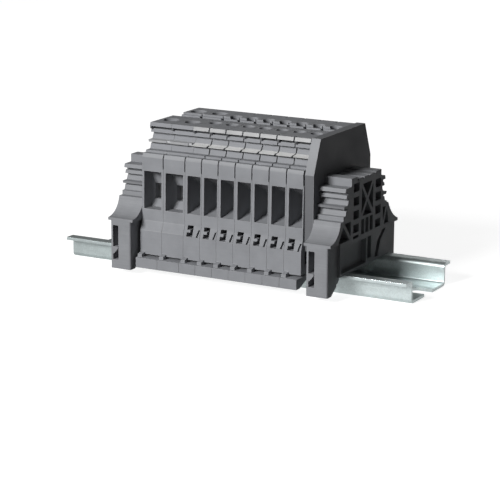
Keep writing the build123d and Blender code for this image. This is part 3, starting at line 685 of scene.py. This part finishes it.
class ScrewRecipe(Recipe):
    """A threaded clamping screw with a chamfered, slotted head, built up from its tip."""

    LENGTHS = ("Core", "Crest", "Shank", "Pitch", "Head Radius", "Head Height", "Chamfer", "Slot Width",
               "Slot Depth")
    CORE_SIDES = 32
    HEAD_SIDES = 48
    TURN_STEPS = 24
    TOOTH_SIDES = 4
    TOOTH_FLATNESS = 0.62
    SLOT_REACH = 3.0

    def __init__(self) -> None:
        """Builds the tree."""
        super().__init__("clamping_screw", {"Tip": "NodeSocketVector", "Material": "NodeSocketMaterial",
                                            **{label: "NodeSocketFloat" for label in self.LENGTHS}})
        self.close([self.place(part) for part in (self.shank(), self.thread(), self.head())])

    def moved(self, geometry: bpy.types.NodeSocket, way: bpy.types.NodeSocket) -> bpy.types.NodeSocket:
        """Moves geometry by a vector."""
        return self.graph.add("GeometryNodeTransform", {"Geometry": geometry, "Translation": way}).outputs[0]

    def lift(self, geometry: bpy.types.NodeSocket, height: bpy.types.NodeSocket) -> bpy.types.NodeSocket:
        """Moves geometry up by a height."""
        return self.moved(geometry, self.graph.add("ShaderNodeCombineXYZ", {"Z": height}).outputs[0])

    def place(self, geometry: bpy.types.NodeSocket) -> bpy.types.NodeSocket:
        """Moves geometry from the tree's origin to the screw's tip."""
        return self.moved(geometry, self.given["Tip"])

    def shank(self) -> bpy.types.NodeSocket:
        """Makes the core that carries the thread.

        Returns:
            The core's geometry.
        """
        rod = self.graph.add("GeometryNodeMeshCylinder", {
            "Vertices": self.CORE_SIDES, "Radius": self.given["Core"], "Depth": self.given["Shank"]})
        return self.lift(rod.outputs[0], self.graph.math("MULTIPLY", self.given["Shank"], 0.5))

    def thread(self) -> bpy.types.NodeSocket:
        """Sweeps the thread ridge along a helix, one pitch a turn, that starts and ends a pitch short.

        Returns:
            The ridge's geometry.
        """
        add, given, math_of = self.graph.add, self.given, self.graph.math
        depth = math_of("SUBTRACT", given["Crest"], given["Core"])
        length = math_of("SUBTRACT", given["Shank"], math_of("MULTIPLY", given["Pitch"], 2.0))
        path = add("GeometryNodeCurveSpiral", {
            "Resolution": self.TURN_STEPS, "Rotations": math_of("DIVIDE", length, given["Pitch"]),
            "Start Radius": given["Core"], "End Radius": given["Core"], "Height": length, "Reverse": False})
        level = add("GeometryNodeSetCurveNormal", {"Curve": path.outputs[0]}, mode="Z_UP")
        tooth = add("GeometryNodeCurvePrimitiveCircle", {"Resolution": self.TOOTH_SIDES, "Radius": depth},
                    mode="RADIUS")
        flat = add("GeometryNodeTransform", {"Geometry": tooth.outputs[0],
                                             "Scale": (1.0, self.TOOTH_FLATNESS, 1.0)})
        ridge = add("GeometryNodeCurveToMesh", {
            "Curve": level.outputs[0], "Profile Curve": flat.outputs[0], "Fill Caps": True})
        return self.lift(ridge.outputs[0], given["Pitch"])

    def head(self) -> bpy.types.NodeSocket:
        """Makes the head: a drum with a chamfered rim, less its slot.

        Returns:
            The head's geometry.
        """
        add, given, math_of = self.graph.add, self.given, self.graph.math
        drum_height = math_of("SUBTRACT", given["Head Height"], given["Chamfer"])
        drum = add("GeometryNodeMeshCylinder", {
            "Vertices": self.HEAD_SIDES, "Radius": given["Head Radius"], "Depth": drum_height})
        rim = add("GeometryNodeMeshCone", {
            "Vertices": self.HEAD_SIDES, "Radius Bottom": given["Head Radius"], "Depth": given["Chamfer"],
            "Radius Top": math_of("SUBTRACT", given["Head Radius"], given["Chamfer"])})
        base = self.lift(drum.outputs[0], math_of("MULTIPLY", drum_height, 0.5))
        top = self.lift(rim.outputs[0], drum_height)
        both = add("GeometryNodeMeshBoolean", {"Self Intersection": False}, operation="UNION", solver="EXACT")
        for part in (base, top):
            self.tree.links.new(part, both.inputs[1])
        span = math_of("MULTIPLY", given["Head Radius"], self.SLOT_REACH)
        size = add("ShaderNodeCombineXYZ", {"X": span, "Y": given["Slot Width"],
                                            "Z": math_of("MULTIPLY", given["Slot Depth"], 2.0)}).outputs[0]
        cut = self.lift(add("GeometryNodeMeshCube", {"Size": size}).outputs[0], given["Head Height"])
        slotted = add("GeometryNodeMeshBoolean", {"Mesh 1": both.outputs[0]}, operation="DIFFERENCE",
                      solver="EXACT")
        self.tree.links.new(cut, slotted.inputs[1])
        return self.lift(slotted.outputs[0], given["Shank"])


class RidgeRecipe(Recipe):
    """A row of roof-shaped grip ridges across a contact face, added to the mesh that comes in."""

    def __init__(self) -> None:
        """Builds the tree."""
        super().__init__("grip_ridges", {"First": "NodeSocketVector", "Spacing": "NodeSocketFloat",
                                         "Count": "NodeSocketInt", "Width": "NodeSocketFloat",
                                         "Height": "NodeSocketFloat", "Material": "NodeSocketMaterial"})
        add, given = self.graph.add, self.given
        step = add("ShaderNodeCombineXYZ", {"Y": given["Spacing"]}).outputs[0]
        row = add("GeometryNodeMeshLine", {"Count": given["Count"], "Start Location": given["First"],
                                           "Offset": step})
        side = self.graph.math("MULTIPLY", given["Height"], math.sqrt(2.0))
        size = add("ShaderNodeCombineXYZ", {"X": given["Width"], "Y": side, "Z": side}).outputs[0]
        bar = add("GeometryNodeMeshCube", {"Size": size})
        turned = add("GeometryNodeTransform", {"Geometry": bar.outputs[0],
                                               "Rotation": (math.pi / 4, 0.0, 0.0)})
        ridges = add("GeometryNodeInstanceOnPoints", {"Points": row.outputs[0],
                                                      "Instance": turned.outputs[0]})
        self.close([given["Geometry"], ridges.outputs[0]])


@dataclass
class RailDress:
    """The top-hat rail with its rolled edges."""

    finishes: Finishes
    node: str = "rail"
    edge: float = 0.08 * MM

    def build(self) -> bpy.types.Object:
        """Makes the rail piece.

        Returns:
            The rail, on its body.
        """
        obj = softened(self.node, "rail_sheet", self.edge, self.finishes.zinc, self.finishes.cut_zinc)
        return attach(obj, "block")


@dataclass
class EndClamps:
    """The two one-piece end clamps."""

    finishes: Finishes
    nodes: tuple[str, str] = ("end_clamp_left", "end_clamp_right")
    edge: float = 0.14 * MM

    def build(self) -> list[bpy.types.Object]:
        """Makes both clamps.

        Returns:
            The clamps, on their body.
        """
        made = []
        for node in self.nodes:
            obj = softened(node, node + "_moulding", self.edge, self.finishes.clamp, self.finishes.clamp_edge_highlight,
                           held=True)
            made.append(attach(obj, "block"))
        return made


@dataclass
class EndCover:
    """The flat cover over the last terminal."""

    finishes: Finishes
    node: str = "end_cover"
    edge: float = 0.1 * MM
    slope: Land = Land(39.6 * MM, 50.2 * MM, 16.2 * MM)

    def build(self) -> bpy.types.Object:
        """Makes the cover.

        Returns:
            The cover, on its body.
        """
        obj = softened(self.node, "end_cover_moulding", self.edge, self.finishes.cover,
                       self.finishes.cover_edge_highlight)
        # Paints a highlight on the upward slope with the lighter copy of the cover grey.
        paint_band(obj, self.slope, self.finishes.cover_slope_highlight)
        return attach(obj, "block")


@dataclass(frozen=True)
class ContactSizes:
    """Sizes of a terminal's screws and sleeves that the boxes of their nodes don't give."""

    head_height: float
    thread_radius: float
    pitch: float
    sleeve_wall: float
    sleeve_floor: float


CONTACTS = {
    Width.WIDE: ContactSizes(2.3 * MM, 2.0 * MM, 0.7 * MM, 0.8 * MM, 1.0 * MM),
    Width.NARROW: ContactSizes(1.9 * MM, 1.5 * MM, 0.5 * MM, 0.6 * MM, 0.9 * MM),
}


@dataclass
class Terminal:
    """One terminal: its housing, contact bar, sleeves and screws."""

    number: int
    width: Width
    finishes: Finishes
    screw_recipe: ScrewRecipe
    ridge_recipe: RidgeRecipe
    edge: float = 0.08 * MM
    wide_round_angle: float = 18.5
    lip: Land = Land(48.9 * MM, 50.0 * MM, 15.9 * MM)
    rib: Land = Land(43.6 * MM, 44.6 * MM, 15.2 * MM)
    crest: Land = Land(39.5 * MM, 40.5 * MM, 20.7 * MM)
    # Bands under the lips and ribs that get painted shade.
    recesses: tuple[Land, ...] = (Land(48.0 * MM, 48.8 * MM, 13.5 * MM),
                                  Land(46.3 * MM, 46.75 * MM, 13.5 * MM),
                                  Land(43.2 * MM, 43.65 * MM, 13.5 * MM))
    ridge_count: int = 7
    sleeve_ridge: float = 0.12 * MM
    bar_ridge: float = 0.08 * MM
    bar_ridge_spacing: float = 0.6 * MM
    bar_margin: float = 1.0 * MM
    bar_inset: float = 0.2 * MM
    thread_depth_share: float = 0.55
    head_chamfer: float = 0.2 * MM
    slot_width: float = 0.8 * MM
    slot_depth: float = 1.0 * MM

    @property
    def stem(self) -> str:
        """The start of this terminal's node names."""
        return f"terminal_{self.number}"

    @property
    def sizes(self) -> ContactSizes:
        """The sizes that go with this terminal's width."""
        return CONTACTS[self.width]

    def build(self) -> list[bpy.types.Object]:
        """Makes the terminal's pieces.

        Returns:
            The pieces, each on its body.
        """
        made = [self.housing(), self.contact_strip()]
        for end in End:
            made += [self.sleeve(end), self.screw(end)]
        return made

    def housing(self) -> bpy.types.Object:
        """Makes the housing, with painted highlights on its rounded edges, crest and lips, ribs or shelves
        (the lips and ribs also polished), and painted shade in its recesses.

        Returns:
            The housing, on its body.
        """
        wide = self.width is Width.WIDE
        housing = softened(self.stem + "_housing", self.stem + "_housing_moulding", self.edge,
                           self.finishes.housing, self.finishes.housing_edge_highlight,
                           self.wide_round_angle if wide else ROUND_ANGLE)
        # Painted highlight on the wall-top chamfer, and painted shade in the grooves under lips and ribs.
        paint_band(housing, self.crest, self.finishes.crest_highlight)
        for recess_shade in self.recesses:
            paint_band(housing, recess_shade, self.finishes.recess_shade)
        # Painted highlight on the wide ribs' shelf; on narrow terminals, polished lips and ribs with painted
        # highlights.
        if wide:
            paint_band(housing, self.rib, self.finishes.shelf_highlight)
        else:
            paint_band(housing, self.lip, self.finishes.lip_polish_highlight)
            paint_band(housing, self.rib, self.finishes.rib_polish_highlight)
        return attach(housing, "block")

    def contact_strip(self) -> bpy.types.Object:
        """Makes the brass bar, with a row of grip ridges under each end.

        Returns:
            The bar, on its body.
        """
        node = self.stem + "_contact_bar"
        brass = self.finishes.brass
        low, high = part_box(node)
        bar = softened(node, self.stem + "_contact_strip", self.edge, brass, brass)
        row = (self.ridge_count - 1) * self.bar_ridge_spacing
        for first in (low.y + self.bar_margin, high.y - self.bar_margin - row):
            self.ridge_recipe.run(bar, {
                "First": ((low.x + high.x) / 2, first, low.z), "Spacing": self.bar_ridge_spacing,
                "Count": self.ridge_count, "Width": high.x - low.x - 2 * self.bar_inset,
                "Height": self.bar_ridge, "Material": brass})
        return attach(bar, "block")

    def sleeve(self, end: End) -> bpy.types.Object:
        """Makes a clamping sleeve with grip ridges on its floor.

        Args:
            end: Which wire end of the terminal it serves.

        Returns:
            The sleeve, on its body.
        """
        node = f"{self.stem}_{end.value}_sleeve"
        plated = self.finishes.plated
        low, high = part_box(node)
        cage = softened(node, node + "_cage", self.edge, plated, plated)
        spacing = (high.y - low.y) / (self.ridge_count + 1)
        floor = low.z + self.sizes.sleeve_floor
        self.ridge_recipe.run(cage, {
            "First": ((low.x + high.x) / 2, low.y + spacing, floor), "Spacing": spacing,
            "Count": self.ridge_count, "Width": high.x - low.x - 2 * self.sizes.sleeve_wall,
            "Height": self.sleeve_ridge, "Material": plated})
        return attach(cage, node)

    def screw(self, end: End) -> bpy.types.Object:
        """Makes a threaded clamping screw in place of the plain one.

        Args:
            end: Which wire end of the terminal it serves.

        Returns:
            The screw, on its body.
        """
        node = f"{self.stem}_{end.value}_screw"
        sizes = self.sizes
        low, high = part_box(node)
        obj = link_mesh(node + "_turned", bpy.data.meshes.new(node + "_turned"))
        self.screw_recipe.run(obj, {
            "Tip": ((low.x + high.x) / 2, (low.y + high.y) / 2, low.z),
            "Core": sizes.thread_radius - self.thread_depth_share * sizes.pitch, "Crest": sizes.thread_radius,
            "Shank": high.z - low.z - sizes.head_height, "Pitch": sizes.pitch,
            "Head Radius": (high.x - low.x) / 2, "Head Height": sizes.head_height,
            "Chamfer": self.head_chamfer, "Slot Width": self.slot_width, "Slot Depth": self.slot_depth,
            "Material": self.finishes.bright})
        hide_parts(node)
        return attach(obj, node)


@dataclass(frozen=True)
class Lamp:
    """One square soft lamp, hidden from the camera."""

    name: str
    place: Triple
    aim: Triple
    size: float
    power: float

    def build(self) -> None:
        """Makes the lamp and turns it towards its aim."""
        data = bpy.data.lights.new(self.name, "AREA")
        data.shape = "SQUARE"
        data.size = self.size
        data.energy = self.power
        obj = bpy.data.objects.new(self.name, data)
        bpy.context.scene.collection.objects.link(obj)
        obj.location = self.place
        obj.visible_camera = False
        aim = Vector(self.aim) - Vector(self.place)
        obj.rotation_mode = "QUATERNION"
        obj.rotation_quaternion = aim.to_track_quat("-Z", "Y")


@dataclass(frozen=True)
class Viewpoint:
    """The camera that looks as the photograph does: angles in degrees, focal length in pixels."""

    azimuth: float = 28.48
    elevation: float = 13.93
    roll: float = 0.33
    distance: float = 0.6685
    focal_px: float = 1996.4
    image_px: float = 500.0
    sensor: float = 36.0
    target: Triple = (-0.00166, 0.0, 0.00674)
    clip: Span = (0.05, 20.0)

    def build(self) -> None:
        """Makes the camera and sets it as the scene's."""
        a, e, r = (math.radians(v) for v in (self.azimuth, self.elevation, self.roll))
        back = Vector((math.sin(a) * math.cos(e), -math.cos(a) * math.cos(e), math.sin(e)))
        right = Vector((math.cos(a), math.sin(a), 0.0))
        up = back.cross(right)
        across = right * math.cos(r) + up * math.sin(r)
        rise = up * math.cos(r) - right * math.sin(r)
        data = bpy.data.cameras.new("camera")
        data.sensor_width = self.sensor
        data.lens = self.focal_px / self.image_px * self.sensor
        data.clip_start, data.clip_end = self.clip
        obj = bpy.data.objects.new("camera", data)
        bpy.context.scene.collection.objects.link(obj)
        turn = Matrix((across, rise, back)).transposed().to_4x4()
        obj.matrix_world = Matrix.Translation(Vector(self.target) + back * self.distance) @ turn
        bpy.context.scene.camera = obj


@dataclass(frozen=True)
class Floor:
    """The pale floor: white to the eye, duller in reflections towards the left, and keeping the shadow."""

    half: float = 3.0
    tone: float = 0.1
    seen_tone: float = 0.5
    glow: float = 0.87
    roughness: float = 0.9
    fade_x: Span = (-0.08, 0.02)
    fade: Span = (0.72, 0.24)

    def build(self) -> None:
        half = self.half
        mesh = bpy.data.meshes.new("floor")
        corners = [(-half, -half, 0.0), (half, -half, 0.0), (half, half, 0.0), (-half, half, 0.0)]
        mesh.from_pydata(corners, [], [(0, 1, 2, 3)])
        obj = link_mesh("floor", mesh)
        mesh.materials.append(self.material())

    def material(self) -> bpy.types.Material:
        """Builds the floor's finish.

        Returns:
            The finish as a Blender material.
        """
        material, graph, shader = new_material("floor_white")
        path, seen = graph.seen()
        pale = graph.add("ShaderNodeMix", {"Factor": seen, "A": (self.tone, self.tone, self.tone, 1.0),
                                           "B": (self.seen_tone, self.seen_tone, self.seen_tone, 1.0)},
                         data_type="RGBA")
        along = graph.add("ShaderNodeSeparateXYZ", {0: graph.place()}).outputs[0]
        loss = graph.math("MULTIPLY", path.outputs["Is Glossy Ray"],
                          graph.ramp(along, self.fade_x, self.fade))
        glow = graph.math("SUBTRACT", graph.math("MULTIPLY", seen, self.glow), loss)
        graph.feed(shader, {"Base Color": pale.outputs["Result"], "Emission Strength": glow})
        shader.inputs["Roughness"].default_value = self.roughness
        shader.inputs["Emission Color"].default_value = (1.0, 1.0, 1.0, 1.0)
        return material


@dataclass(frozen=True)
class Surround:
    """The world: white to the camera, and in reflections duller overhead and at the left."""

    ambient: float = 0.02
    rise: Span = (0.0, 0.25)
    overhead: float = 0.22
    leftward: Span = (-0.65, -0.25)
    left: float = 0.4

    def build(self) -> None:
        """Makes the world and sets it as the scene's."""
        world = bpy.data.worlds.new("surround")
        world.use_nodes = True
        world.node_tree.nodes.clear()
        graph = Graph(world.node_tree)
        path, seen = graph.seen()
        axes = graph.add("ShaderNodeSeparateXYZ", {0: graph.add("ShaderNodeTexCoord").outputs["Generated"]})
        sweep = graph.math("MULTIPLY", graph.ramp(axes.outputs[2], self.rise, (1.0, self.overhead)),
                           graph.ramp(axes.outputs[0], self.leftward, (self.left, 1.0)))
        pale = graph.math("MAXIMUM", path.outputs["Is Camera Ray"], sweep)
        unseen = graph.math("SUBTRACT", 1.0, seen)
        level = graph.math("ADD", graph.math("MULTIPLY", seen, pale),
                           graph.math("MULTIPLY", unseen, self.ambient))
        light = graph.add("ShaderNodeBackground", {"Color": (1.0, 1.0, 1.0, 1.0), "Strength": level})
        graph.add("ShaderNodeOutputWorld", {"Surface": light.outputs[0]})
        bpy.context.scene.world = world


@dataclass(frozen=True)
class Studio:
    """The camera, the floor, the white surround and the lamps."""

    viewpoint: Viewpoint = Viewpoint()
    floor: Floor = Floor()
    surround: Surround = Surround()
    lamps: tuple[Lamp, ...] = (
        Lamp("key", (-0.234, -0.875, 0.443), (0.0, 0.0, 0.02), 0.3, 10.7),
        Lamp("back", (-0.12, 0.98, 0.1), (0.0, 0.0, 0.02), 0.35, 2.6),
    )

    def build(self) -> None:
        """Sets up the whole studio."""
        for part in (self.viewpoint, self.floor, self.surround, *self.lamps):
            part.build()
        bpy.context.scene.view_settings.view_transform = "Standard"


def report(pieces: list[bpy.types.Object]) -> None:
    """Logs each piece with its face count.

    Args:
        pieces: The finished pieces.
    """
    for piece in pieces:
        log.info("%s: %d faces", piece.name, len(piece.data.polygons))


def main() -> None:
    logging.basicConfig(level=logging.INFO, format="%(message)s")
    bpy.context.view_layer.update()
    finishes = Finishes()
    pieces = [RailDress(finishes).build(), *EndClamps(finishes).build(), EndCover(finishes).build()]
    screws, ridges = ScrewRecipe(), RidgeRecipe()
    for number, width in enumerate(ROW, start=1):
        pieces += Terminal(number, width, finishes, screws, ridges).build()
    report(pieces)
    Studio().build()


if __name__ == "__main__":
    main()
